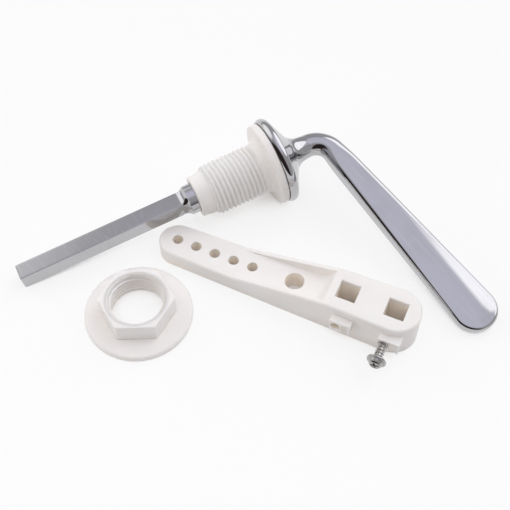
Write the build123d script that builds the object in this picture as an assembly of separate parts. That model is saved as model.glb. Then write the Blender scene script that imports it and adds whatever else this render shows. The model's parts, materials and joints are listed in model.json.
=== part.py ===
from build123d import *

import os
from math import cos, radians, sin

# Cistern lever: a chrome lever in its threaded bush, with the back nut and the lift arm laid beside it

# Lever: flange and neck
RIM_DIAMETER = 35.5
RIM_THICKNESS = 3.6
RIM_CROWN = 0.8
RIM_CROWN_RUN = 1.1
CONE_RISE = 5.7
CONE_TOP_DIAMETER = 11.6
NECK_WIDTH = 9.0
NECK_CORNER_RADIUS = 4.2
NECK_BLEND_RADIUS = 2.5
NECK_STUB = 6.5
BEND_RADIUS = 8.6

# Lever: blade
BLADE_LEAN = 10.7
BLADE_LENGTH = 92.5
BLADE_FLAT_START = 14.0
BLADE_FLAT_EDGE_RADIUS = 2.2
BLADE_TIP_WIDTH = 17.4
BLADE_TIP_THICKNESS = 5.2
BLADE_TIP_EDGE_RADIUS = 1.4

# Lever: journal and square spindle
JOURNAL_DIAMETER = 12.0
JOURNAL_STAND_OUT = 3.4
SHOULDER_LENGTH = 3.2
SHOULDER_END_DIAMETER = 7.0
SPINDLE_SQUARE = 6.8
SPINDLE_LENGTH = 67.5
SPINDLE_CLOCKING = 8.7

# Bush
BUSH_FLANGE_DIAMETER = 33.5
BUSH_FLANGE_THICKNESS = 3.2
BUSH_EDGE_CHAMFER = 0.5
SHANK_LENGTH = 3.4
SHANK_CHAMFER = 0.8
THREAD_DIAMETER = 20.955
THREAD_DEPTH = 1.162
THREAD_LENGTH = 21.0
THREAD_CHAMFER = 0.6
NOSE_ROOT_DIAMETER = 17.8
NOSE_END_DIAMETER = 16.5
NOSE_LENGTH = 6.2

# Back nut
NUT_FLANGE_DIAMETER = 41.0
NUT_RIM_THICKNESS = 1.7
NUT_FLANGE_RISE = 0.9
NUT_HEIGHT = 10.8
HEX_ACROSS_FLATS = 25.2
NUT_RIM_CHAMFER = 0.6
HEX_CORNER_RADIUS = 0.8
NUT_LEAD_IN = 0.8

# Lift arm
LINK_HOLE_DIAMETER = 4.2
LINK_HOLE_PITCH = 8.0
LINK_HOLE_COUNT = 5
THIN_END_RADIUS = 7.3
THIN_END_THICKNESS = 7.2
RAMP_START = 26.0
RAMP_END = 66.0
THICK_END_RADIUS = 9.4
THICK_END_THICKNESS = 15.0
ARM_EDGE_CHAMFER = 0.5
TROUGH_RIM_WIDTH = 1.9
TROUGH_FLOOR_RISE = 2.1
TROUGH_END_RUN = 3.5
TROUGH_END_WALL = 2.9
CROSS_HOLE_DIAMETER = 7.5
CROSS_HOLE_AT = 49.4
SOCKET_AT = 70.4
SOCKET_SPACING = 18.6
SOCKET_COUNT = 2
SOCKET_LEAD_IN = 0.3

# Clamp screw and its bosses
SCREW_AXIS_HEIGHT = 8.4
BOSS_HEIGHT = 5.8
BOSS_STAND_OUT = 2.6
BOSS_CORE_WIDTH = 4.6
BOSS_POCKET_WIDTH = 2.4
BOSS_POCKET_DEPTH = 2.2
BOSS_WALL = 1.0
SCREW_DIAMETER = 3.5
SCREW_LENGTH = 10.0
SCREW_POINT_LENGTH = 1.6
SCREW_POINT_DIAMETER = 1.4
SCREW_EXPOSED = 6.7
SCREW_HEAD_DIAMETER = 7.2
SCREW_HEAD_HEIGHT = 2.6
SCREW_WASHER_THICKNESS = 0.8
SCREW_DOME_DIAMETER = 5.8
SCREW_DOME_TOP_DIAMETER = 4.6

# Clearances between pieces
RUNNING_CLEARANCE = 0.05
END_FLOAT = 0.1
SOCKET_CLEARANCE = 0.35

# How the pieces lie, measured from the first link hole of the arm
NUT_AT = (-0.3, -32.5)
NUT_TURN = 26.0
LEVER_AT = (20.8, 43.2)
LEVER_HEADING = 229.7
SETTLING_STEPS = 40

BUSH_START = END_FLOAT
SHANK_START = BUSH_START + BUSH_FLANGE_THICKNESS
THREAD_START = SHANK_START + SHANK_LENGTH
NOSE_START = THREAD_START + THREAD_LENGTH
BUSH_END = NOSE_START + NOSE_LENGTH
JOURNAL_END = BUSH_END + JOURNAL_STAND_OUT
SHOULDER_END = JOURNAL_END + SHOULDER_LENGTH
SPINDLE_END = SHOULDER_END + SPINDLE_LENGTH
CONE_TOP = RIM_THICKNESS + CONE_RISE
BEND_START = CONE_TOP + NECK_STUB
BLADE_HEADING = 90 + BLADE_LEAN
SOCKET_SIDE = SPINDLE_SQUARE + 2 * SOCKET_CLEARANCE


def nearest_vertices(shape, points):
    """The corners of a flat sketch that lie nearest to the given points."""
    return [shape.vertices().sort_by_distance(Vector(*point))[0] for point in points]


def turned(points, chamfered=()):
    """A profile of (distance along the axis, radius) points, chamfered at some of them and turned about X."""
    profile = make_face(Polyline(*points, close=True))
    for corners, size in chamfered:
        profile = chamfer(nearest_vertices(profile, corners), size)
    return revolve(profile, Axis.X)


def blade_plane(distance):
    """The plane across the blade at a distance along it from the end of the bend."""
    ahead = Vector(cos(radians(BLADE_HEADING)), sin(radians(BLADE_HEADING)))
    outward = Vector(-ahead.Y, ahead.X)
    bend_centre = Vector(-BEND_START, BEND_RADIUS)
    return Plane(bend_centre + outward * BEND_RADIUS + ahead * distance, x_dir=outward, z_dir=ahead)


def tip_centre_distance():
    """Distance from the end of the bend to the centre of the rounded tip."""
    return BLADE_LENGTH - BLADE_TIP_WIDTH / 2


def make_handle():
    """The round neck, its bend and the flat blade that grows wider and thinner towards a round tip."""
    neck_section = RectangleRounded(NECK_WIDTH, NECK_WIDTH, NECK_CORNER_RADIUS)
    share = BLADE_FLAT_START / tip_centre_distance()
    flat_width = NECK_WIDTH + (BLADE_TIP_WIDTH - NECK_WIDTH) * share
    flat_thickness = NECK_WIDTH + (BLADE_TIP_THICKNESS - NECK_WIDTH) * share
    flat_section = RectangleRounded(flat_width, flat_thickness, BLADE_FLAT_EDGE_RADIUS)
    tip_section = RectangleRounded(BLADE_TIP_WIDTH, BLADE_TIP_THICKNESS, BLADE_TIP_EDGE_RADIUS)
    half_tip = tip_section & Pos(BLADE_TIP_WIDTH / 2, 0) * Rectangle(BLADE_TIP_WIDTH, BLADE_TIP_WIDTH)
    stub_plane = Plane((-RIM_THICKNESS, 0), x_dir=(0, -1), z_dir=(-1, 0))
    bend_plane = Plane((-BEND_START, 0), x_dir=(0, -1), z_dir=(-1, 0))
    stub = extrude(stub_plane * neck_section, BEND_START - RIM_THICKNESS)
    bend_axis = Axis((-BEND_START, BEND_RADIUS), (0, 0, -1))
    bend = revolve(bend_plane * neck_section, bend_axis, 90 - BLADE_LEAN)
    tip_plane = blade_plane(tip_centre_distance())
    root_plane = blade_plane(0)
    flat_plane = blade_plane(BLADE_FLAT_START)
    blade = loft([root_plane * neck_section, flat_plane * flat_section, tip_plane * tip_section], ruled=True)
    tip = revolve(tip_plane * half_tip, Axis(tip_plane.origin, (0, 0, -1)), 180)
    return stub + bend + blade + tip


def make_lever():
    """The cast lever: handle, conical flange, round journal and square spindle in one piece."""
    rim_radius = RIM_DIAMETER / 2
    rim_edge_radius = rim_radius - RIM_CROWN
    journal_radius = JOURNAL_DIAMETER / 2
    cone_top = (-CONE_TOP, CONE_TOP_DIAMETER / 2)
    profile = make_face(Polyline(
        (-RIM_THICKNESS, rim_edge_radius), (RIM_CROWN_RUN - RIM_THICKNESS, rim_radius),
        (-RIM_CROWN_RUN, rim_radius), (0, rim_edge_radius), (0, journal_radius),
        (JOURNAL_END, journal_radius), (SHOULDER_END, SHOULDER_END_DIAMETER / 2), (SHOULDER_END, 0),
        (-BEND_START, 0), (-BEND_START, NECK_CORNER_RADIUS), cone_top, close=True))
    profile = fillet(nearest_vertices(profile, [cone_top]), NECK_BLEND_RADIUS)
    spindle_start = BUSH_END
    spindle_plane = Plane((spindle_start, 0), x_dir=(0, 1), z_dir=(1, 0))
    square = Rot(0, 0, SPINDLE_CLOCKING) * Rectangle(SPINDLE_SQUARE, SPINDLE_SQUARE)
    spindle = extrude(spindle_plane * square, SPINDLE_END - spindle_start)
    return revolve(profile, Axis.X) + make_handle() + spindle


def make_bush():
    """The moulded bush: flange, plain shank, threaded length and tapered nose, bored for the journal."""
    bore_radius = JOURNAL_DIAMETER / 2 + RUNNING_CLEARANCE
    flange_radius = BUSH_FLANGE_DIAMETER / 2
    thread_radius = THREAD_DIAMETER / 2
    points = [(BUSH_START, bore_radius), (BUSH_START, flange_radius), (SHANK_START, flange_radius),
              (SHANK_START, thread_radius), (NOSE_START - THREAD_CHAMFER, thread_radius),
              (NOSE_START, thread_radius - THREAD_CHAMFER), (NOSE_START, NOSE_ROOT_DIAMETER / 2),
              (BUSH_END, NOSE_END_DIAMETER / 2), (BUSH_END, bore_radius)]
    edges = [points[1], points[2], points[7]]
    return turned(points, [(edges, BUSH_EDGE_CHAMFER), ([points[3]], SHANK_CHAMFER)])


def make_back_nut():
    """The flanged hexagon nut, lying on its flange."""
    bore_radius = THREAD_DIAMETER / 2 - THREAD_DEPTH
    mouth_radius = THREAD_DIAMETER / 2 + NUT_LEAD_IN
    mouth_depth = mouth_radius - bore_radius
    rim_radius = NUT_FLANGE_DIAMETER / 2
    flange_top = NUT_RIM_THICKNESS + NUT_FLANGE_RISE
    flange_points = [(0, 0), (0, rim_radius), (NUT_RIM_THICKNESS, rim_radius),
                     (flange_top, HEX_ACROSS_FLATS / 2), (flange_top, 0)]
    flange = Rot(0, -90, 0) * turned(flange_points, [([flange_points[2]], NUT_RIM_CHAMFER)])
    hexagon = RegularPolygon(HEX_ACROSS_FLATS / 2, 6, major_radius=False)
    hexagon = fillet(hexagon.vertices(), HEX_CORNER_RADIUS)
    body = flange + extrude(hexagon, NUT_HEIGHT)
    bore = extrude(Circle(bore_radius), NUT_HEIGHT)
    mouth = Pos(0, 0, NUT_HEIGHT - mouth_depth / 2) * Cone(bore_radius, mouth_radius, mouth_depth)
    return body - bore - mouth


def socket_places():
    """Distance of each square socket from the first link hole."""
    return [SOCKET_AT + SOCKET_SPACING * number for number in range(SOCKET_COUNT)]


def arm_outline(inset=0):
    """Plan of the arm, or of what lies inside it by an inset: straight sides tangent to two round ends."""
    thin_end = CenterArc((0, 0), THIN_END_RADIUS - inset, 90, 180)
    thick_end = CenterArc((socket_places()[-1], 0), THICK_END_RADIUS - inset, -90, 180)
    return make_hull([thin_end, thick_end])


def arm_side():
    """Side view of the arm: thin end, ramp and thick end over a flat underside."""
    thin_end = -THIN_END_RADIUS
    thick_end = socket_places()[-1] + THICK_END_RADIUS
    points = [(thin_end, 0), (thick_end, 0), (thick_end, THICK_END_THICKNESS),
              (RAMP_END, THICK_END_THICKNESS), (RAMP_START, THIN_END_THICKNESS),
              (thin_end, THIN_END_THICKNESS)]
    return make_face(Polyline(*points, close=True))


def trough_side():
    """Side view of the trough between the ramp's two rims: a floor that hardly rises and a steep end."""
    end = SOCKET_AT - SOCKET_SIDE / 2 - TROUGH_END_WALL
    floor_end = (end - TROUGH_END_RUN, THIN_END_THICKNESS + TROUGH_FLOOR_RISE)
    points = [(RAMP_START, THIN_END_THICKNESS), floor_end, (end, THICK_END_THICKNESS),
              (RAMP_START, THICK_END_THICKNESS)]
    return make_face(Polyline(*points, close=True))


def boss_reach():
    """Distance from the arm's middle line to the outer face of the screw bosses."""
    return THICK_END_RADIUS + BOSS_STAND_OUT


def make_boss(place):
    """A screw boss beside one socket, with a pocket between its core and its end wall."""
    corner = (Align.MIN, Align.MIN, Align.MIN)
    underside = SCREW_AXIS_HEIGHT - BOSS_HEIGHT / 2
    core_start = place - BOSS_CORE_WIDTH / 2
    width = BOSS_CORE_WIDTH + BOSS_POCKET_WIDTH + BOSS_WALL
    block = Box(width, boss_reach(), BOSS_HEIGHT, align=corner)
    pocket = Box(BOSS_POCKET_WIDTH, BOSS_POCKET_DEPTH, BOSS_HEIGHT - BOSS_WALL, align=corner)
    boss = block - Pos(BOSS_CORE_WIDTH, 0, 0) * pocket
    return Pos(core_start, -boss_reach(), underside) * boss


def make_lift_arm():
    """The moulded arm with its trough, link holes, cross hole, square sockets and screw bosses."""
    width = 2 * THICK_END_RADIUS
    side = extrude(Plane.XZ * arm_side(), width, both=True)
    arm = extrude(arm_outline(), THICK_END_THICKNESS) & side
    upper_faces = arm.faces().filter_by(lambda face: face.normal_at().Z > sin(radians(45)))
    arm = chamfer(upper_faces.edges().filter_by(Axis.Y, reverse=True), ARM_EDGE_CHAMFER)
    trough = extrude(Plane.XZ * trough_side(), width, both=True)
    arm -= extrude(arm_outline(TROUGH_RIM_WIDTH), THICK_END_THICKNESS) & trough
    pilot_radius = SCREW_DIAMETER / 2 + RUNNING_CLEARANCE
    for place in socket_places():
        arm += make_boss(place)
    for place in socket_places():
        pilot = Plane((place, 0, SCREW_AXIS_HEIGHT), z_dir=(0, -1, 0)) * Circle(pilot_radius)
        socket = Pos(place, 0) * Rectangle(SOCKET_SIDE, SOCKET_SIDE)
        mouth = Pos(place, 0, THICK_END_THICKNESS) * Rectangle(SOCKET_SIDE, SOCKET_SIDE)
        arm -= extrude(pilot, boss_reach())
        arm -= extrude(socket, THICK_END_THICKNESS)
        arm -= extrude(offset(mouth, SOCKET_LEAD_IN, kind=Kind.INTERSECTION), -SOCKET_LEAD_IN, taper=45)
    for number in range(LINK_HOLE_COUNT):
        arm -= extrude(Pos(LINK_HOLE_PITCH * number, 0) * Circle(LINK_HOLE_DIAMETER / 2), THICK_END_THICKNESS)
    arm -= extrude(Pos(CROSS_HOLE_AT, 0) * Circle(CROSS_HOLE_DIAMETER / 2), THICK_END_THICKNESS)
    return arm


def make_clamp_screw():
    """The clamp screw, started in the last boss with its head standing off."""
    head_top = SCREW_LENGTH + SCREW_HEAD_HEIGHT
    washer_top = SCREW_LENGTH + SCREW_WASHER_THICKNESS
    shank_radius = SCREW_DIAMETER / 2
    head_radius = SCREW_HEAD_DIAMETER / 2
    screw = turned([(0, 0), (0, SCREW_POINT_DIAMETER / 2), (SCREW_POINT_LENGTH, shank_radius),
                    (SCREW_LENGTH, shank_radius), (SCREW_LENGTH, head_radius), (washer_top, head_radius),
                    (washer_top, SCREW_DOME_DIAMETER / 2), (head_top, SCREW_DOME_TOP_DIAMETER / 2),
                    (head_top, 0)])
    point_reach = boss_reach() + SCREW_EXPOSED - SCREW_LENGTH
    return Pos(socket_places()[-1], -point_reach, SCREW_AXIS_HEIGHT) * Rot(0, 0, -90) * screw


def resting_plane():
    """The table under the lever, which meets its rim, its spindle end and its blade tip."""
    up = Vector(0, 0, 1)
    half = SPINDLE_SQUARE / 2
    corners = [Vector(SPINDLE_END, y, z) for y in (-half, half) for z in (-half, half)]
    corners = [corner.rotate(Axis.X, SPINDLE_CLOCKING) for corner in corners]
    rim_edges = [Vector(-RIM_CROWN_RUN, 0, 0), Vector(RIM_CROWN_RUN - RIM_THICKNESS, 0, 0)]
    tip_core = BLADE_TIP_WIDTH / 2 - BLADE_TIP_EDGE_RADIUS
    tip_drop = BLADE_TIP_THICKNESS / 2 - BLADE_TIP_EDGE_RADIUS
    tip_centre = blade_plane(tip_centre_distance()).origin - Vector(0, 0, tip_drop)
    for _ in range(SETTLING_STEPS):
        rim_down = Vector(0, -up.Y, -up.Z).normalized()
        tip_down = Vector(-up.X, -up.Y, 0)
        tip_down = tip_down.normalized() if tip_down.length > 0 else Vector(0, 1, 0)
        rim_edge = min(rim_edges, key=lambda edge: edge.dot(up))
        rim_foot = rim_edge + rim_down * RIM_DIAMETER / 2
        tip_foot = tip_centre + tip_down * tip_core - up * BLADE_TIP_EDGE_RADIUS
        spindle_foot = min(corners, key=lambda corner: corner.dot(up))
        up = (spindle_foot - rim_foot).cross(tip_foot - rim_foot).normalized()
    return Plane(up * rim_foot.dot(up), x_dir=Vector(1, 0, 0) - up * up.X, z_dir=up)


def place_lever(piece):
    """A piece of the lever's own axis, laid on the table where the lever lies."""
    laid = resting_plane().to_local_coords(piece)
    return Pos(*LEVER_AT) * Rot(0, 0, LEVER_HEADING) * laid


def make_pieces():
    """Every piece by name, laid out with the middle of the whole set over the origin."""
    pieces = {
        "lever": place_lever(make_lever()),
        "bush": place_lever(make_bush()),
        "back_nut": Pos(*NUT_AT) * Rot(0, 0, NUT_TURN) * make_back_nut(),
        "lift_arm": make_lift_arm(),
        "clamp_screw": make_clamp_screw(),
    }
    middle = Compound(list(pieces.values())).bounding_box().center()
    return {name: Pos(-middle.X, -middle.Y) * piece for name, piece in pieces.items()}


os.makedirs("parts", exist_ok=True)
for node, solid in make_pieces().items():
    export_step(solid, f"parts/{node}.step")
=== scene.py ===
import json
import logging
import math
from dataclasses import dataclass
from enum import Enum
from typing import Any, Callable, Optional, Sequence, Union

import bmesh
import bpy
from bmesh.types import BMEdge, BMFace, BMVert
from mathutils import Matrix, Vector


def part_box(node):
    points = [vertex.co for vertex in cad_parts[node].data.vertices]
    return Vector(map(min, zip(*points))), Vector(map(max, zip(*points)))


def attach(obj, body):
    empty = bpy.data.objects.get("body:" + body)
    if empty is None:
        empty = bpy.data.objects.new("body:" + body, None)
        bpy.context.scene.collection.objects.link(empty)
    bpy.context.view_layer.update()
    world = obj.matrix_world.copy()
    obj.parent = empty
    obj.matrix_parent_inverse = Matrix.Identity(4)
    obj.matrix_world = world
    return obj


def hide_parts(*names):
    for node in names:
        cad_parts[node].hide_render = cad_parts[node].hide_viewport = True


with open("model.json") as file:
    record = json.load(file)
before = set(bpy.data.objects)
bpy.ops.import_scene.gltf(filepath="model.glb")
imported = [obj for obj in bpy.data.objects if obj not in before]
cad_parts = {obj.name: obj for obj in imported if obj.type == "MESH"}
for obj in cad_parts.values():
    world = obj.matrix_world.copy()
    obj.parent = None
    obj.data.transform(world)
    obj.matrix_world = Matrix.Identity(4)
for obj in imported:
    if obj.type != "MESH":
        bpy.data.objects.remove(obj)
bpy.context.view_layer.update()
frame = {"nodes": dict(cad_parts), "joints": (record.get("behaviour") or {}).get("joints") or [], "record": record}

LOG = logging.getLogger("cistern_lever")
MM = 0.001
FULL_TURN = 2 * math.pi
Colour = tuple[float, float, float]
Point = tuple[float, float]


class Body(Enum):
    """The bodies that pieces ride on."""

    FIXED = "fixed_set"
    LEVER = "lever"
    SCREW = "clamp_screw"


class Slot(Enum):
    """The record's material slots."""

    CHROME = "chrome"
    PLASTIC = "white_plastic"
    STEEL = "screw_steel"


class Wire:
    """An output socket that can stand in arithmetic."""

    def __init__(self, graph: "Graph", socket: bpy.types.NodeSocket) -> None:
        """Keep the socket and the graph that new Math nodes go to."""
        self.graph = graph
        self.socket = socket

    def _math(self, operation: str, left: "Value", right: "Value") -> "Wire":
        """Add a Math node between two values."""
        return self.graph.add("ShaderNodeMath", {"operation": operation}, {0: left, 1: right})

    def __add__(self, other: "Value") -> "Wire":
        """This plus a value."""
        return self._math("ADD", self, other)

    def __radd__(self, other: "Value") -> "Wire":
        """A value plus this."""
        return self._math("ADD", other, self)

    def __sub__(self, other: "Value") -> "Wire":
        """This minus a value."""
        return self._math("SUBTRACT", self, other)

    def __rsub__(self, other: "Value") -> "Wire":
        """A value minus this."""
        return self._math("SUBTRACT", other, self)

    def __mul__(self, other: "Value") -> "Wire":
        """This times a value."""
        return self._math("MULTIPLY", self, other)

    def __rmul__(self, other: "Value") -> "Wire":
        """A value times this."""
        return self._math("MULTIPLY", other, self)

    def maximum(self, other: "Value") -> "Wire":
        """The larger of this and a value."""
        return self._math("MAXIMUM", self, other)


Value = Union[Wire, float, Colour, Sequence[float]]


class Graph:
    """A node tree that nodes are added to."""

    def __init__(self, tree: bpy.types.NodeTree) -> None:
        """Start from an empty tree."""
        self.tree = tree
        tree.nodes.clear()

    def add(self, kind: str, settings: Optional[dict[str, Any]] = None,
            sockets: Optional[dict[Union[str, int], Value]] = None, output: Union[str, int] = 0) -> Wire:
        """Add a node, set it up and fill its sockets.

        Args:
            kind: The node's type.
            settings: Its properties, or the stops of its colour ramp, set before its sockets.
            sockets: Values or links for its inputs, by name or number.
            output: The output that is handed back.

        Returns:
            That output.
        """
        node = self.tree.nodes.new(kind)
        for name, value in (settings or {}).items():
            if name == "stops":
                self._set_stops(node.color_ramp, value)
            else:
                setattr(node, name, value)
        for name, value in (sockets or {}).items():
            if isinstance(value, Wire):
                self.tree.links.new(value.socket, node.inputs[name])
            else:
                node.inputs[name].default_value = value
        return Wire(self, node.outputs[output]) if node.outputs else Wire(self, None)

    @staticmethod
    def _set_stops(ramp: bpy.types.ColorRamp, stops: Sequence[tuple[float, Colour]]) -> None:
        """Give a colour ramp its stops."""
        while len(ramp.elements) > 1:
            ramp.elements.remove(ramp.elements[-1])
        for number, (place, colour) in enumerate(stops):
            element = ramp.elements[0] if number == 0 else ramp.elements.new(place)
            element.position = place
            element.color = (*colour, 1.0)

    def place(self, scale: Colour = (1, 1, 1), turn: Colour = (0, 0, 0)) -> Wire:
        """Object coordinates, seen from turned axes and then scaled.

        Args:
            scale: Scale along each turned axis.
            turn: Turn of the axes, in degrees.

        Returns:
            The mapped coordinates.
        """
        where = self.add("ShaderNodeTexCoord", output="Object")
        angles = tuple(math.radians(angle) for angle in turn)
        spread = tuple(1 / value for value in scale)
        sockets = {"Vector": where, "Rotation": angles, "Scale": spread}
        return self.add("ShaderNodeMapping", {"vector_type": "TEXTURE"}, sockets)

    def noise(self, where: Wire, scale: float, detail: float = 3.0, roughness: float = 0.55) -> Wire:
        """Noise between 0 and 1.

        Args:
            where: Coordinates, in metres.
            scale: Waves to the metre.
            detail: Finer octaves.
            roughness: Weight of the finer octaves.

        Returns:
            The noise value.
        """
        sockets = {"Vector": where, "Scale": scale, "Detail": detail, "Roughness": roughness}
        return self.add("ShaderNodeTexNoise", {}, sockets)

    def ease(self, value: Wire, low: float, high: float) -> Wire:
        """0 below low, 1 above high and a smooth step between."""
        settings = {"interpolation_type": "SMOOTHSTEP"}
        return self.add("ShaderNodeMapRange", settings, {"Value": value, "From Min": low, "From Max": high})

    def blend(self, share: Wire, first: Union[Wire, Colour], second: Union[Wire, Colour]) -> Wire:
        """Mix two colours.

        Args:
            share: Share of the second colour.
            first: The first colour.
            second: The second colour.

        Returns:
            The mixed colour.
        """
        ends = [value if isinstance(value, Wire) else (*value, 1.0) for value in (first, second)]
        return self.add("ShaderNodeMix", {"data_type": "RGBA"}, {0: share, 6: ends[0], 7: ends[1]}, 2)

    def bump(self, height: Wire, strength: float, distance: float) -> Wire:
        """A normal bent by a height.

        Args:
            height: Height between 0 and 1.
            strength: Share of the bend that is kept.
            distance: Height of 1, in metres.

        Returns:
            The normal.
        """
        return self.add("ShaderNodeBump", {}, {"Strength": strength, "Distance": distance, "Height": height})


def surface(name: str, fill: Callable[[Graph], Wire]) -> bpy.types.Material:
    """Make a material.

    Args:
        name: Its name.
        fill: Fills its graph and returns the shader.

    Returns:
        The material.
    """
    material = bpy.data.materials.new(name)
    material.use_nodes = True
    graph = Graph(material.node_tree)
    graph.add("ShaderNodeOutputMaterial", {}, {"Surface": fill(graph)})
    return material


@dataclass(frozen=True)
class ChromePlate:
    """Bright chrome over a polished casting, with faint wipe marks and handling haze."""

    bright: Colour = (0.5, 0.5, 0.515)
    dull: Colour = (0.465, 0.46, 0.47)
    lined: Colour = (0.58, 0.575, 0.585)
    roughness: float = 0.045
    haze: float = 0.05
    lay: Colour = (0.0, 10.2, -28.0)

    def fill(self, graph: Graph) -> Wire:
        """Fill the material's graph and return its shader."""
        cloud = graph.noise(graph.place(), 70.0, 4.0)
        marks = graph.noise(graph.place((0.15, 6.0, 6.0), self.lay), 160.0, 3.0, 0.6)
        haze = graph.ease(cloud, 0.42, 0.75)
        wipe = graph.ease(marks, 0.48, 0.72)
        ripple = graph.noise(graph.place(), 55.0, 1.0)
        return graph.add("ShaderNodeBsdfPrincipled", {}, {
            "Base Color": graph.blend(0.5 * wipe, graph.blend(haze, self.bright, self.dull), self.lined),
            "Metallic": 1.0,
            "Roughness": self.roughness + self.haze * haze + 0.03 * wipe,
            "Normal": graph.bump(ripple, 0.05, 0.0006),
        })


@dataclass(frozen=True)
class MouldedPlastic:
    """Warm white moulded plastic with a soft sheen, faint flow clouds and a fine mould grain; its hollows get a painted
    glow, a lighter, warmer colour painted where ambient occlusion finds them shut in.
    """

    pale: Colour = (0.905, 0.885, 0.855)
    warm: Colour = (0.89, 0.86, 0.825)
    # Painted glow: the lighter, warmer colour painted into hollows in place of light bounced there.
    painted_hollow_glow: Colour = (0.985, 0.9, 0.8)
    roughness: float = 0.38

    def fill(self, graph: Graph) -> Wire:
        """Fill the material's graph and return its shader."""
        flow = graph.noise(graph.place((1.0, 2.2, 1.0), (0, 0, 20)), 45.0, 3.0)
        grain = graph.noise(graph.place(), 2600.0, 2.0)
        sink = graph.noise(graph.place(), 130.0, 1.0)
        cloud = graph.ease(flow, 0.35, 0.75)
        skin = graph.blend(cloud, self.pale, self.warm)
        # Ambient occlusion paints the painted glow colour into recesses and creases, standing in for bounced light
        # there.
        painted_glow_openness = graph.add("ShaderNodeAmbientOcclusion", {"samples": 8}, {"Distance": 0.011}, "AO")
        return graph.add("ShaderNodeBsdfPrincipled", {}, {
            "Base Color": graph.blend(graph.ease(painted_glow_openness, 0.15, 0.7), self.painted_hollow_glow, skin),
            "Roughness": self.roughness + 0.1 * cloud + 0.06 * grain,
            "Subsurface Weight": 0.3,
            "Subsurface Radius": (1.0, 0.9, 0.8),
            "Subsurface Scale": 0.001,
            "Normal": graph.bump(0.25 * grain + sink, 0.12, 0.00025),
        })


@dataclass(frozen=True)
class ZincSteel:
    """Bright zinc on a turned steel screw, with fine turning marks and dull specks."""

    bright: Colour = (0.46, 0.45, 0.44)
    dull: Colour = (0.3, 0.29, 0.28)
    roughness: float = 0.2

    def fill(self, graph: Graph) -> Wire:
        """Fill the material's graph and return its shader."""
        specks = graph.ease(graph.noise(graph.place(), 1500.0, 3.0), 0.5, 0.72)
        lines = graph.noise(graph.place((1.0, 18.0, 1.0)), 900.0, 2.0)
        return graph.add("ShaderNodeBsdfPrincipled", {}, {
            "Base Color": graph.blend(specks, self.bright, self.dull),
            "Metallic": 1.0,
            "Roughness": self.roughness + 0.16 * specks + 0.05 * lines,
            "Normal": graph.bump(lines, 0.1, 0.0001),
        })


@dataclass(frozen=True)
class TableTop:
    """A plain white table top, mostly plain white where it is seen and matt where it lights the pieces."""

    colour: Colour = (0.9, 0.9, 0.9)
    plain: float = 0.78
    reach: float = 0.012

    def fill(self, graph: Graph) -> Wire:
        """Fill the material's graph and return its shader."""
        seen = graph.add("ShaderNodeLightPath", output="Is Camera Ray")
        seen = seen.maximum(graph.add("ShaderNodeLightPath", output="Is Glossy Ray"))
        seen = seen.maximum(graph.add("ShaderNodeLightPath", output="Is Transmission Ray"))
        matt = graph.add("ShaderNodeBsdfDiffuse", {}, {"Color": (*self.colour, 1.0)})
        white = graph.add("ShaderNodeEmission", {}, {"Color": (1, 1, 1, 1), "Strength": 1.0})
        open_sky = graph.add("ShaderNodeAmbientOcclusion", {"samples": 8}, {"Distance": self.reach}, "AO")
        share = self.plain * seen * graph.ease(open_sky, 0.1, 0.5)
        return graph.add("ShaderNodeMixShader", {}, {0: share, 1: matt, 2: white})


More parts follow.
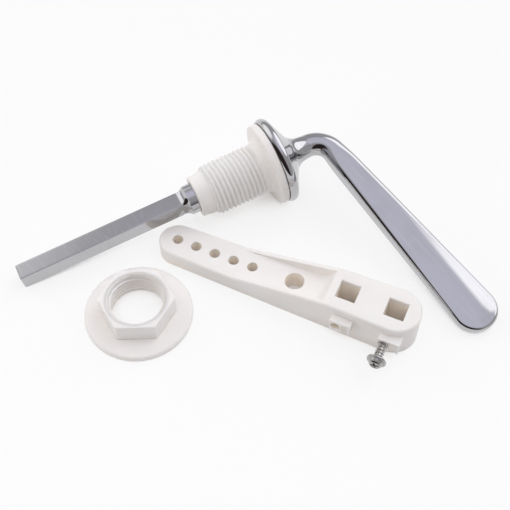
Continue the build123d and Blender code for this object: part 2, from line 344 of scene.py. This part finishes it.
class Stock:
    """A mesh in the making, in millimetres in a piece's own frame."""

    def __init__(self) -> None:
        """Start with nothing."""
        self.bm = bmesh.new()

    def _new_since(self, before: set) -> tuple[list[BMVert], list[BMEdge], list[BMFace]]:
        """The vertices, edges and faces that weren't there before."""
        every = (self.bm.verts, self.bm.edges, self.bm.faces)
        return tuple([item for item in items if item not in before] for items in every)

    def _all(self) -> set:
        """Every vertex, edge and face so far."""
        return {*self.bm.verts, *self.bm.edges, *self.bm.faces}

    def wire(self, points: Sequence[Point], closed: bool, upward: int = 1) -> list[BMVert]:
        """Lay a wire.

        Args:
            points: Its corners, along X and upward.
            closed: Whether it closes on itself.
            upward: Number of the upward axis.

        Returns:
            Its vertices.
        """
        corners = []
        for along, up in points:
            corners.append(self.bm.verts.new((along, 0.0, 0.0)))
            corners[-1].co[upward] = up
        for start, end in zip(corners, corners[1:] + (corners[:1] if closed else [])):
            self.bm.edges.new((start, end))
        return corners

    def round_off(self, corners: Sequence[BMVert], size: float, segments: int) -> None:
        """Round corners of a wire or a flat face.

        Args:
            corners: The corners.
            size: How far the rounding starts from each.
            segments: Steps of the rounding.
        """
        bmesh.ops.bevel(self.bm, geom=list(corners), offset=size, offset_type="OFFSET", segments=segments,
                        profile=0.5, affect="VERTICES", material=-1)

    def turned(self, points: Sequence[Point], rounds: Optional[dict[int, float]] = None, steps: int = 96,
               closed: bool = False, segments: int = 6) -> None:
        """Turn a profile about X.

        Args:
            points: Distance along the axis and radius of each corner.
            rounds: Size of the rounding at a corner, by its number.
            steps: Steps of the turn.
            closed: Whether the profile closes on itself.
            segments: Steps of each rounding.
        """
        before = self._all()
        corners = self.wire(points, closed, 2)
        for number, size in (rounds or {}).items():
            self.round_off([corners[number]], size, segments)
        verts, edges, _ = self._new_since(before)
        bmesh.ops.spin(self.bm, geom=verts + edges, cent=(0, 0, 0), axis=(1, 0, 0), angle=FULL_TURN,
                       steps=steps, use_merge=True)

    def ridge(self, thread: "Thread") -> None:
        """Wind a thread's ridge about X, fading at both ends.

        Args:
            thread: The thread's sizes.
        """
        before = self._all()
        foot = thread.foot_radius()
        self.wire([(thread.start + share * thread.pitch, foot + lift * thread.rise())
                   for share, lift in thread.outline], False, 2)
        verts, edges, _ = self._new_since(before)
        turns = (thread.end - thread.start) / thread.pitch
        steps = round(turns * thread.steps)
        bmesh.ops.spin(self.bm, geom=verts + edges, cent=(0, 0, 0), axis=(1, 0, 0),
                       dvec=(thread.pitch / thread.steps, 0, 0), angle=FULL_TURN * steps / thread.steps,
                       steps=steps, use_merge=False)
        for vert in self._new_since(before)[0]:
            fade = min(vert.co.x - thread.start, thread.end - vert.co.x) / thread.fade + 0.5
            fade = max(0.0, min(1.0, fade))
            radius = math.hypot(vert.co.y, vert.co.z)
            scale = (foot + (radius - foot) * fade) / radius
            vert.co.y *= scale
            vert.co.z *= scale

    def section(self, width: float, height: float, corner: float, place: Matrix, crown: float = 0.0) -> list[BMEdge]:
        """Lay a rounded rectangle across the work.

        Args:
            width: Its width.
            height: Its height.
            corner: Its corner radius.
            place: Where it lies.
            crown: How far the middle of its upper and lower sides swells.

        Returns:
            Its loop of edges.
        """
        before = self._all()
        half = width / 2 - corner
        row = [half * step / 4 for step in range(3, -4, -1)]
        upper = [(width / 2, height / 2), *((across, height / 2) for across in row), (-width / 2, height / 2)]
        verts = self.wire([*upper, *((-across, -up) for across, up in upper)], True)
        swell = [vert for vert in verts if abs(vert.co.x) < half]
        self.round_off([vert for vert in verts if abs(vert.co.x) > half], corner, 15)
        for vert in swell:
            vert.co.y += math.copysign(crown * (1 - (vert.co.x / half) ** 2), vert.co.y)
        verts, edges, _ = self._new_since(before)
        bmesh.ops.transform(self.bm, matrix=place, verts=verts)
        return edges

    def loft(self, loops: Sequence[Sequence[BMEdge]]) -> None:
        """Join loops of edges in order."""
        for first, second in zip(loops, loops[1:]):
            bmesh.ops.bridge_loops(self.bm, edges=[*first, *second])

    def block(self, low: Sequence[float], high: Sequence[float], edge: float) -> list[BMVert]:
        """Add a box with softened edges.

        Args:
            low: Its lowest corner.
            high: Its highest corner.
            edge: Size of the softening.

        Returns:
            Its vertices.
        """
        before = self._all()
        verts = bmesh.ops.create_cube(self.bm, size=1.0)["verts"]
        size = Vector(high) - Vector(low)
        bmesh.ops.scale(self.bm, vec=size, verts=verts)
        bmesh.ops.translate(self.bm, vec=(Vector(high) + Vector(low)) / 2, verts=verts)
        edges = self._new_since(before)[1]
        bmesh.ops.bevel(self.bm, geom=edges, offset=edge, offset_type="OFFSET", segments=3, profile=0.5,
                        affect="EDGES", material=-1)
        return self._new_since(before)[0]

    def piece(self, name: str, place: Matrix, material: bpy.types.Material, sharp: float = 32.0) -> bpy.types.Object:
        """Close the mesh and make it a piece.

        Args:
            name: The piece's name.
            place: From the piece's own frame to the row's, in metres.
            material: Its finish.
            sharp: Angle past which an edge stays sharp, in degrees.

        Returns:
            The piece.
        """
        bmesh.ops.remove_doubles(self.bm, verts=self.bm.verts[:], dist=0.0005)
        bmesh.ops.recalc_face_normals(self.bm, faces=self.bm.faces[:])
        bmesh.ops.transform(self.bm, matrix=place @ Matrix.Scale(MM, 4), verts=self.bm.verts[:])
        mesh = bpy.data.meshes.new(name)
        self.bm.to_mesh(mesh)
        self.bm.free()
        mesh.shade_smooth()
        mesh.set_sharp_from_angle(angle=math.radians(sharp))
        mesh.materials.append(material)
        made = bpy.data.objects.new(name, mesh)
        bpy.context.scene.collection.objects.link(made)
        return made


@dataclass(frozen=True)
class Thread:
    """A thread's sizes along X: a ridge from its roots to its crests, outwards or inwards."""

    start: float
    end: float
    pitch: float
    crest_radius: float
    root_radius: float
    steps: int = 96
    fade: float = 2.4
    sink: float = 0.12
    outline: tuple[Point, ...] = ((-0.5, 0.0), (-0.36, 0.16), (-0.16, 0.86), (-0.06, 0.99), (0.06, 0.99),
                                  (0.16, 0.86), (0.36, 0.16), (0.5, 0.0))

    def foot_radius(self) -> float:
        """Radius of the ridge's foot, which is sunk in the wall that carries it."""
        return self.root_radius - math.copysign(self.sink, self.crest_radius - self.root_radius)

    def rise(self) -> float:
        """Height of the crests over the ridge's foot, below zero for an inside thread."""
        return self.crest_radius - self.foot_radius()


def axes(origin: Sequence[float], along: Vector, upward: Vector) -> Matrix:
    """A frame at a point.

    Args:
        origin: The point, in metres.
        along: Its X direction.
        upward: Near its Z direction.

    Returns:
        The frame as a matrix.
    """
    x_axis = along.normalized()
    y_axis = upward.cross(x_axis).normalized()
    z_axis = x_axis.cross(y_axis)
    turn = Matrix((x_axis, y_axis, z_axis)).transposed().to_4x4()
    return Matrix.Translation(origin) @ turn


def mount_place(name: str) -> Vector:
    """Where a mount of the record lies, in metres."""
    return Vector(next(mount["pos_m"] for mount in frame["record"]["mounts"] if mount["name"] == name))


def lever_place() -> Matrix:
    """The lever's own frame: X along the spindle, Z square to the blade and the spindle."""
    turn = next(joint for joint in frame["joints"] if joint["name"] == "lever_turn")
    return axes(turn["pos_m"], Vector(turn["axis"]), Vector((0.0757, -0.2294, 0.9704)))


def dress(made: bpy.types.Object, body: Body, slot: Slot, node: str) -> None:
    """Set a piece on its body in place of a node and report it.

    Args:
        made: The piece.
        body: What it rides on.
        slot: Its material slot in the record; not used.
        node: The node that it stands for.
    """
    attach(made, body.value)
    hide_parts(node)
    LOG.info("%s: %d faces on %s", made.name, len(made.data.polygons), body.value)


@dataclass
class Lever:
    """The chrome casting: blade, bent neck, flange, journal and square spindle."""

    rim_radius: float = 17.75
    rim_crown: float = 0.8
    rim_thickness: float = 3.6
    cone_top: float = 9.3
    cone_top_radius: float = 5.8
    neck: float = 9.0
    neck_corner: float = 4.2
    bend_start: float = 15.8
    bend_radius: float = 8.6
    lean: float = 10.7
    blade_length: float = 92.5
    flat_start: float = 9.0
    flat_lead: float = 6.0
    flat_corner: float = 2.1
    tip_width: float = 17.4
    tip_thickness: float = 5.2
    tip_corner: float = 1.4
    crown: float = 0.5
    journal_radius: float = 6.0
    journal_end: float = 37.3
    shoulder: float = 3.6
    spindle: float = 6.8
    spindle_end: float = 108.0
    edge: float = 0.22
    clocking: float = 8.7

    def _tip_distance(self) -> float:
        """From the end of the bend to the centre of the round tip."""
        return self.blade_length - self.tip_width / 2

    def _bend(self, angle: float, ahead: float = 0.0) -> Matrix:
        """The frame across the handle.

        Args:
            angle: Angle round the bend, in degrees.
            ahead: Distance past that place.

        Returns:
            X outwards, Y up and Z ahead.
        """
        heading = math.radians(180 - angle)
        forward = Vector((math.cos(heading), math.sin(heading), 0))
        outward = Vector((-forward.y, forward.x, 0))
        centre = Vector((-self.bend_start, self.bend_radius, 0))
        turn = Matrix((outward, Vector((0, 0, 1)), forward)).transposed().to_4x4()
        return Matrix.Translation(centre + outward * self.bend_radius + forward * ahead) @ turn

    def _turn_flange(self, stock: Stock) -> list[list[BMEdge]]:
        """Turn the flange with the journal and hand back the open edges at the spindle and the neck."""
        edge = self.rim_radius - self.rim_crown
        half = self.rim_thickness / 2
        crown_radius = (half ** 2 + self.rim_crown ** 2) / (2 * self.rim_crown)
        apex = edge + half * math.tan(math.asin(half / crown_radius))
        reach = math.hypot(half, apex - edge)
        neck_at = -self.bend_start + 3.0
        neck_radius = self.neck / 2 + 0.4
        stock.turned([
            (self.journal_end, self.journal_radius), (0.0, self.journal_radius), (0.0, edge), (-half, apex),
            (-self.rim_thickness, edge), (-self.cone_top, self.cone_top_radius), (neck_at, neck_radius),
        ], {3: reach * 0.998, 4: 0.35, 5: 2.6}, 78, segments=12)
        return [[link for link in stock.bm.edges
                 if link.is_boundary and all(abs(vert.co.x - end) < 1e-4 for vert in link.verts)]
                for end in (self.journal_end, neck_at)]

    def _corner(self, ahead: float) -> float:
        """Corner radius of the handle at a distance past the bend, or before its end if below zero."""
        if ahead < self.flat_start:
            settle = max(0.0, (ahead + self.flat_lead) / (self.flat_start + self.flat_lead))
            return self.neck_corner + (self.flat_corner - self.neck_corner) * settle * settle * (3 - 2 * settle)
        later = (ahead - self.flat_start) / (self._tip_distance() - self.flat_start)
        return self.flat_corner + (self.tip_corner - self.flat_corner) * later

    def _blade_loops(self, stock: Stock) -> list[list[BMEdge]]:
        """Lay the loops of the neck, the bend and the blade."""
        turn = 90 - self.lean
        loops = []
        for step in range(25):
            angle = turn * step / 24
            corner = self._corner(-self.bend_radius * math.radians(turn - angle))
            loops.append(stock.section(self.neck, self.neck, corner, self._bend(angle)))
        tip = self._tip_distance()
        for step in range(1, 25):
            ahead = tip * (step / 24) ** 1.6
            share = ahead / tip
            width = self.neck + (self.tip_width - self.neck) * share
            height = self.neck + (self.tip_thickness - self.neck) * share
            swell = self.crown * share * share
            place = self._bend(turn, ahead)
            loops.append(stock.section(width, height - 2 * swell, self._corner(ahead), place, swell))
        return loops

    def _spindle_loops(self, stock: Stock) -> list[list[BMEdge]]:
        """Lay the loops of the scooped shoulder and the square spindle."""
        turn = Matrix.Rotation(math.radians(self.clocking), 4, "X")
        across = turn @ Matrix(((0, 0, 1, 0), (1, 0, 0, 0), (0, 1, 0, 0), (0, 0, 0, 1)))
        half = self.spindle / 2
        loops = []
        for step in range(13):
            share = step / 12
            reach = half + (self.journal_radius - half) * (1 - share) ** 2.4
            corner = self.edge + (reach - self.edge) * 0.998 * (1 - share) ** 1.2
            along = self.journal_end + self.shoulder * share
            loops.append(stock.section(2 * reach, 2 * reach, corner, Matrix.Translation((along, 0, 0)) @ across))
        for back, inset in ((self.edge, 0.0), (0.0, self.edge * 0.8)):
            place = Matrix.Translation((self.spindle_end - back, 0, 0)) @ across
            loops.append(stock.section(self.spindle - 2 * inset, self.spindle - 2 * inset, self.edge, place))
        bmesh.ops.edgeloop_fill(stock.bm, edges=loops[-1])
        return loops

    def _round_tip(self, stock: Stock, last: list[BMEdge]) -> None:
        """Turn the outer half of the last loop round the tip."""
        place = self._bend(90 - self.lean, self._tip_distance())
        across = place.to_3x3().col[0]
        centre = place.translation
        verts = {vert for edge in last for vert in edge.verts if (vert.co - centre).dot(across) > -1e-4}
        edges = [edge for edge in last if all(vert in verts for vert in edge.verts)]
        bmesh.ops.spin(stock.bm, geom=[*verts, *edges], cent=centre, axis=(0, 0, -1), angle=math.pi, steps=48,
                       use_merge=False)

    def build(self, finish: bpy.types.Material) -> bpy.types.Object:
        """Build the lever in its finish and return it."""
        stock = Stock()
        journal, neck = self._turn_flange(stock)
        loops = self._blade_loops(stock)
        stock.loft([neck, *loops])
        self._round_tip(stock, loops[-1])
        stock.loft([journal, *self._spindle_loops(stock)])
        made = stock.piece("lever_casting", lever_place(), finish, 24.0)
        dress(made, Body.LEVER, Slot.CHROME, "lever")
        return made


@dataclass
class Bush:
    """The moulded bush: flange, plain shank, pipe thread and tapered nose."""

    start: float = 0.1
    flange_radius: float = 16.75
    flange_end: float = 3.3
    thread_start: float = 6.7
    thread_end: float = 27.7
    pitch: float = 1.814
    crest_radius: float = 10.4775
    root_radius: float = 9.7
    nose_radius: float = 8.9
    nose_end_radius: float = 8.25
    end: float = 33.9
    bore_radius: float = 6.05

    def build(self, finish: bpy.types.Material) -> bpy.types.Object:
        """Build the bush in its finish and return it."""
        stock = Stock()
        stock.turned([
            (self.start, self.bore_radius), (self.start, self.flange_radius), (self.flange_end, self.flange_radius),
            (self.flange_end, self.crest_radius), (self.thread_start - 0.5, self.crest_radius),
            (self.thread_start + 0.6, self.root_radius), (self.thread_end, self.root_radius),
            (self.thread_end + 0.4, self.nose_radius), (self.end, self.nose_end_radius),
            (self.end, self.bore_radius),
        ], {1: 0.6, 2: 0.9, 3: 2.4, 4: 0.4, 8: 0.6, 9: 0.3}, 120, True)
        stock.ridge(Thread(self.thread_start, self.thread_end - 0.6, self.pitch, self.crest_radius, self.root_radius))
        made = stock.piece("bush_moulding", lever_place(), finish)
        dress(made, Body.FIXED, Slot.PLASTIC, "bush")
        return made


@dataclass
class BackNut:
    """The flanged hexagon nut, lying on its flange."""

    rim_radius: float = 20.5
    rim_thickness: float = 2.0
    flange_rise: float = 0.6
    height: float = 10.8
    across_flats: float = 25.2
    corner: float = 0.9
    turn: float = 56.0
    soften: float = 0.35
    pitch: float = 1.814
    crest_radius: float = 9.75
    root_radius: float = 10.53
    mouth_radius: float = 11.3

    def build(self, finish: bpy.types.Material) -> bpy.types.Object:
        """Build the nut in its finish and return it."""
        stock = Stock()
        flange_top = self.rim_thickness + self.flange_rise
        flat = self.across_flats / 2
        stock.turned([
            (0.0, self.root_radius + 0.3), (0.0, self.rim_radius), (self.rim_thickness, self.rim_radius),
            (flange_top, flat - 0.2), (flange_top, self.root_radius + 0.3),
        ], {1: 0.35, 2: 1.2}, 120, True)
        mouth = self.height - (self.mouth_radius - self.root_radius)
        stock.turned([
            (0.0, self.root_radius + 0.32), (0.5, self.root_radius), (mouth, self.root_radius),
            (self.height, self.mouth_radius), (self.height - 0.05, self.mouth_radius + 0.6), (0.02, self.mouth_radius),
        ], {2: 0.5, 3: 0.12}, 120, True)
        stock.ridge(Thread(1.2, mouth, self.pitch, self.crest_radius, self.root_radius))
        self._add_hexagon(stock, flange_top)
        upright = axes(mount_place("nut_thread"), Vector((0, 0, 1)), Vector((-1, 0, 0)))
        upright.translation.z = 0.0
        made = stock.piece("back_nut_moulding", upright, finish)
        dress(made, Body.FIXED, Slot.PLASTIC, "back_nut")
        return made

    def _add_hexagon(self, stock: Stock, foot: float) -> None:
        """Raise the hexagon round the bore.

        Args:
            stock: The nut so far, with its axis along X.
            foot: Height of the flange's top.
        """
        before = stock._all()
        lay = Matrix.Rotation(math.radians(90), 4, "Y") @ Matrix.Rotation(math.radians(self.turn), 4, "Z")
        radius = self.across_flats / 2 / math.cos(math.pi / 6)
        ring = bmesh.ops.create_circle(stock.bm, cap_ends=True, segments=6, radius=radius)["verts"]
        stock.round_off(ring, self.corner, 5)
        verts, edges, faces = stock._new_since(before)
        lifted = bmesh.ops.extrude_face_region(stock.bm, geom=faces)["geom"]
        bmesh.ops.delete(stock.bm, geom=faces, context="FACES_ONLY")
        top = [item for item in lifted if isinstance(item, BMVert)]
        bmesh.ops.translate(stock.bm, vec=(0, 0, foot - 0.3), verts=verts)
        bmesh.ops.translate(stock.bm, vec=(0, 0, self.height), verts=top)
        rim = [edge for item in lifted if isinstance(item, BMFace) for edge in item.edges]
        bmesh.ops.bevel(stock.bm, geom=rim, offset=self.soften, offset_type="OFFSET", segments=3, profile=0.5,
                        affect="EDGES", material=-1)
        lid = next(face for face in stock._new_since(before)[2]
                   if all(abs(vert.co.z - self.height) < 1e-4 for vert in face.verts))
        outer = list(lid.edges)
        bmesh.ops.delete(stock.bm, geom=[lid], context="FACES_ONLY")
        ring = bmesh.ops.create_circle(stock.bm, cap_ends=False, segments=120, radius=self.mouth_radius,
                                       matrix=Matrix.Translation((0, 0, self.height)))["verts"]
        stock.loft([outer, list({edge for vert in ring for edge in vert.link_edges})])
        made = stock._new_since(before)[0]
        bmesh.ops.transform(stock.bm, matrix=lay, verts=made)


@dataclass
class LiftArm:
    """The moulded lift arm, with its edges softened as a mould leaves them."""

    soften: float = 0.28
    flat_angle: float = 1.0
    edge_angle: float = 28.0
    trough_end: tuple[float, float] = (59.5, 64.0)
    trough_blend: float = 2.4

    def _creases(self, stock: Stock) -> list[BMEdge]:
        """The edges across the arm at the foot and the head of the trough's end."""
        hole = mount_place("link_hole_1").x / MM
        low, high = (hole + place for place in self.trough_end)
        level = [edge for edge in stock.bm.edges if abs(edge.verts[0].co.x - edge.verts[1].co.x) < 0.05]
        return [edge for edge in level if low < edge.verts[0].co.x < high and edge.calc_length() > 8.0]

    def build(self, finish: bpy.types.Material) -> bpy.types.Object:
        """Build the arm in its finish and return it."""
        stock = Stock()
        stock.bm.from_mesh(frame["nodes"]["lift_arm"].data)
        bmesh.ops.scale(stock.bm, vec=(1 / MM, 1 / MM, 1 / MM), verts=stock.bm.verts[:])
        bmesh.ops.remove_doubles(stock.bm, verts=stock.bm.verts[:], dist=0.0005)
        bmesh.ops.dissolve_limit(stock.bm, angle_limit=math.radians(self.flat_angle), verts=stock.bm.verts[:],
                                 edges=stock.bm.edges[:], delimit=set())
        bmesh.ops.bevel(stock.bm, geom=self._creases(stock), offset=self.trough_blend, offset_type="OFFSET",
                        segments=8, profile=0.5, affect="EDGES", clamp_overlap=True, material=-1)
        limit = math.radians(self.edge_angle)
        crisp = [edge for edge in stock.bm.edges if edge.is_manifold and edge.calc_face_angle() > limit]
        bmesh.ops.bevel(stock.bm, geom=crisp, offset=self.soften, offset_type="OFFSET", segments=3, profile=0.5,
                        affect="EDGES", clamp_overlap=True, material=-1)
        made = stock.piece("lift_arm_moulding", Matrix.Identity(4), finish, 40.0)
        dress(made, Body.FIXED, Slot.PLASTIC, "lift_arm")
        return made


@dataclass
class ClampScrew:
    """The clamp screw: washer head with a cross recess, and a coarse thread."""

    length: float = 10.0
    radius: float = 1.75
    core: float = 1.22
    pitch: float = 1.3
    point: float = 1.6
    washer_radius: float = 3.6
    washer: float = 0.8
    head: float = 2.6
    dome_radius: float = 2.9
    top_radius: float = 2.1
    recess: float = 1.5
    slot_width: float = 0.75
    slot_reach: float = 1.55

    def build(self, finish: bpy.types.Material) -> bpy.types.Object:
        """Build the screw in its finish and return it."""
        stock = Stock()
        top = self.length + self.head
        floor = top - self.recess
        stock.turned([
            (0.0, 0.0), (self.point, self.core), (self.length, self.core), (self.length, self.washer_radius),
            (self.length + self.washer, self.washer_radius), (self.length + self.washer, self.dome_radius),
            (top, self.top_radius), (top, self.slot_reach + 0.12), (floor, 0.9), (floor - 0.5, 0.0),
        ], {3: 0.2, 4: 0.3, 6: 0.9, 7: 0.12}, 48, segments=5)
        stock.ridge(Thread(0.9, self.length - 0.3, self.pitch, self.radius, self.core, 40, 1.0, 0.1,
                           ((-0.3, 0.0), (-0.05, 0.95), (0.05, 0.95), (0.3, 0.0))))
        half = self.slot_width / 2
        for quarter in range(4):
            corner = stock.block((floor - 0.2, half, half), (top - 0.1, self.slot_reach, self.slot_reach), 0.12)
            turn = Matrix.Rotation(math.radians(90 * quarter + 20), 3, "X")
            bmesh.ops.rotate(stock.bm, cent=(0, 0, 0), matrix=turn, verts=corner)
        low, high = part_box("clamp_screw")
        middle = (low + high) / 2
        place = axes((middle.x, high.y, middle.z), Vector((0, -1, 0)), Vector((0, 0, 1)))
        made = stock.piece("clamp_screw_steel", place, finish)
        dress(made, Body.SCREW, Slot.STEEL, "clamp_screw")
        return made


@dataclass
class Studio:
    """The table, the soft light round it and the camera."""

    lens: float = 64.3
    distance: float = 0.36
    azimuth: float = 24.4
    elevation: float = 55.0
    aim_from_hole: tuple[float, float] = (28.40, 10.23)

    def _away(self, azimuth: float, elevation: float) -> Vector:
        """The direction at an azimuth from the front and an elevation, in degrees."""
        side, rise = math.radians(azimuth), math.radians(elevation)
        return Vector((math.sin(side) * math.cos(rise), -math.cos(side) * math.cos(rise), math.sin(rise)))

    def lay_table(self) -> None:
        """Lay the table top under the pieces."""
        stock = bmesh.new()
        bmesh.ops.create_grid(stock, x_segments=1, y_segments=1, size=12.0)
        bmesh.ops.translate(stock, vec=(0, 0, -0.0001), verts=stock.verts[:])
        mesh = bpy.data.meshes.new("table_top")
        stock.to_mesh(mesh)
        stock.free()
        mesh.materials.append(surface("table_top", TableTop().fill))
        table = bpy.data.objects.new("table_top", mesh)
        bpy.context.scene.collection.objects.link(table)

    def hang_lamp(self, name: str, azimuth: float, elevation: float, size: float, power: float, colour: Colour) -> None:
        """Hang a soft square lamp that faces the pieces.

        Args:
            name: The lamp's name.
            azimuth: Its azimuth from the front, in degrees.
            elevation: Its elevation, in degrees.
            size: Its side, in metres.
            power: Its power, in watts.
            colour: Its colour.
        """
        data = bpy.data.lights.new(name, "AREA")
        data.size = size
        data.energy = power
        data.color = colour
        lamp = bpy.data.objects.new(name, data)
        away = self._away(azimuth, elevation)
        lamp.location = away * 1.2
        lamp.rotation_euler = away.to_track_quat("Z", "Y").to_euler()
        lamp.visible_glossy = False
        bpy.context.scene.collection.objects.link(lamp)

    def fill_room(self, graph: Graph) -> Wire:
        """Fill the room's graph: a grey-violet ceiling, two bright sides and a dark front."""
        way = graph.add("ShaderNodeTexCoord", output="Generated")

        def along(azimuth: float, elevation: float) -> Wire:
            """How far the view goes in a direction, as a cosine."""
            aim = tuple(self._away(azimuth, elevation))
            return graph.add("ShaderNodeVectorMath", {"operation": "DOT_PRODUCT"}, {0: way, 1: aim}, "Value")

        room = graph.blend(graph.ease(along(0, 90), 0.8, 1.0), (0.5, 0.49, 0.505), (0.86, 0.855, 0.985))
        room = graph.blend(graph.ease(along(150, 44), 0.858, 0.892), room, (1.75, 1.75, 1.8))
        room = graph.blend(graph.ease(along(-100, 30), 0.84, 0.95), room, (1.5, 1.5, 1.5))
        room = graph.blend(graph.ease(along(-4, -5), 0.41, 0.57), room, (0.035, 0.026, 0.024))
        return graph.add("ShaderNodeBackground", {}, {"Color": room, "Strength": 1.0})

    def light_room(self) -> None:
        """Light the room and hang the lamps."""
        world = bpy.data.worlds.new("room")
        world.use_nodes = True
        graph = Graph(world.node_tree)
        graph.add("ShaderNodeOutputWorld", {}, {"Surface": self.fill_room(graph)})
        bpy.context.scene.world = world
        self.hang_lamp("front_lamp", -42, 20, 0.7, 2.4, (1.0, 0.97, 0.955))
        self.hang_lamp("top_lamp", 10, 64, 0.6, 2.4, (1.0, 0.99, 0.985))

    def set_camera(self) -> None:
        """Stand the camera where the photograph was taken."""
        hole = mount_place("link_hole_1")
        aim = Vector((hole.x + self.aim_from_hole[0] * MM, hole.y + self.aim_from_hole[1] * MM, 0.0))
        away = self._away(self.azimuth, self.elevation)
        data = bpy.data.cameras.new("camera")
        data.lens = self.lens
        data.sensor_width = 36.0
        data.clip_start = 0.01
        camera = bpy.data.objects.new("camera", data)
        camera.location = aim + away * self.distance
        camera.rotation_euler = away.to_track_quat("Z", "Y").to_euler()
        bpy.context.scene.collection.objects.link(camera)
        bpy.context.scene.camera = camera
        bpy.context.scene.view_settings.view_transform = "Standard"


def main() -> None:
    """Build every piece, the table, the light and the camera."""
    logging.basicConfig(level=logging.INFO, format="%(message)s")
    chrome = surface("chrome_plate", ChromePlate().fill)
    plastic = surface("moulded_plastic", MouldedPlastic().fill)
    steel = surface("zinc_steel", ZincSteel().fill)
    Lever().build(chrome)
    Bush().build(plastic)
    BackNut().build(plastic)
    LiftArm().build(plastic)
    ClampScrew().build(steel)
    studio = Studio()
    studio.lay_table()
    studio.light_room()
    studio.set_camera()


if __name__ == "__main__":
    main()
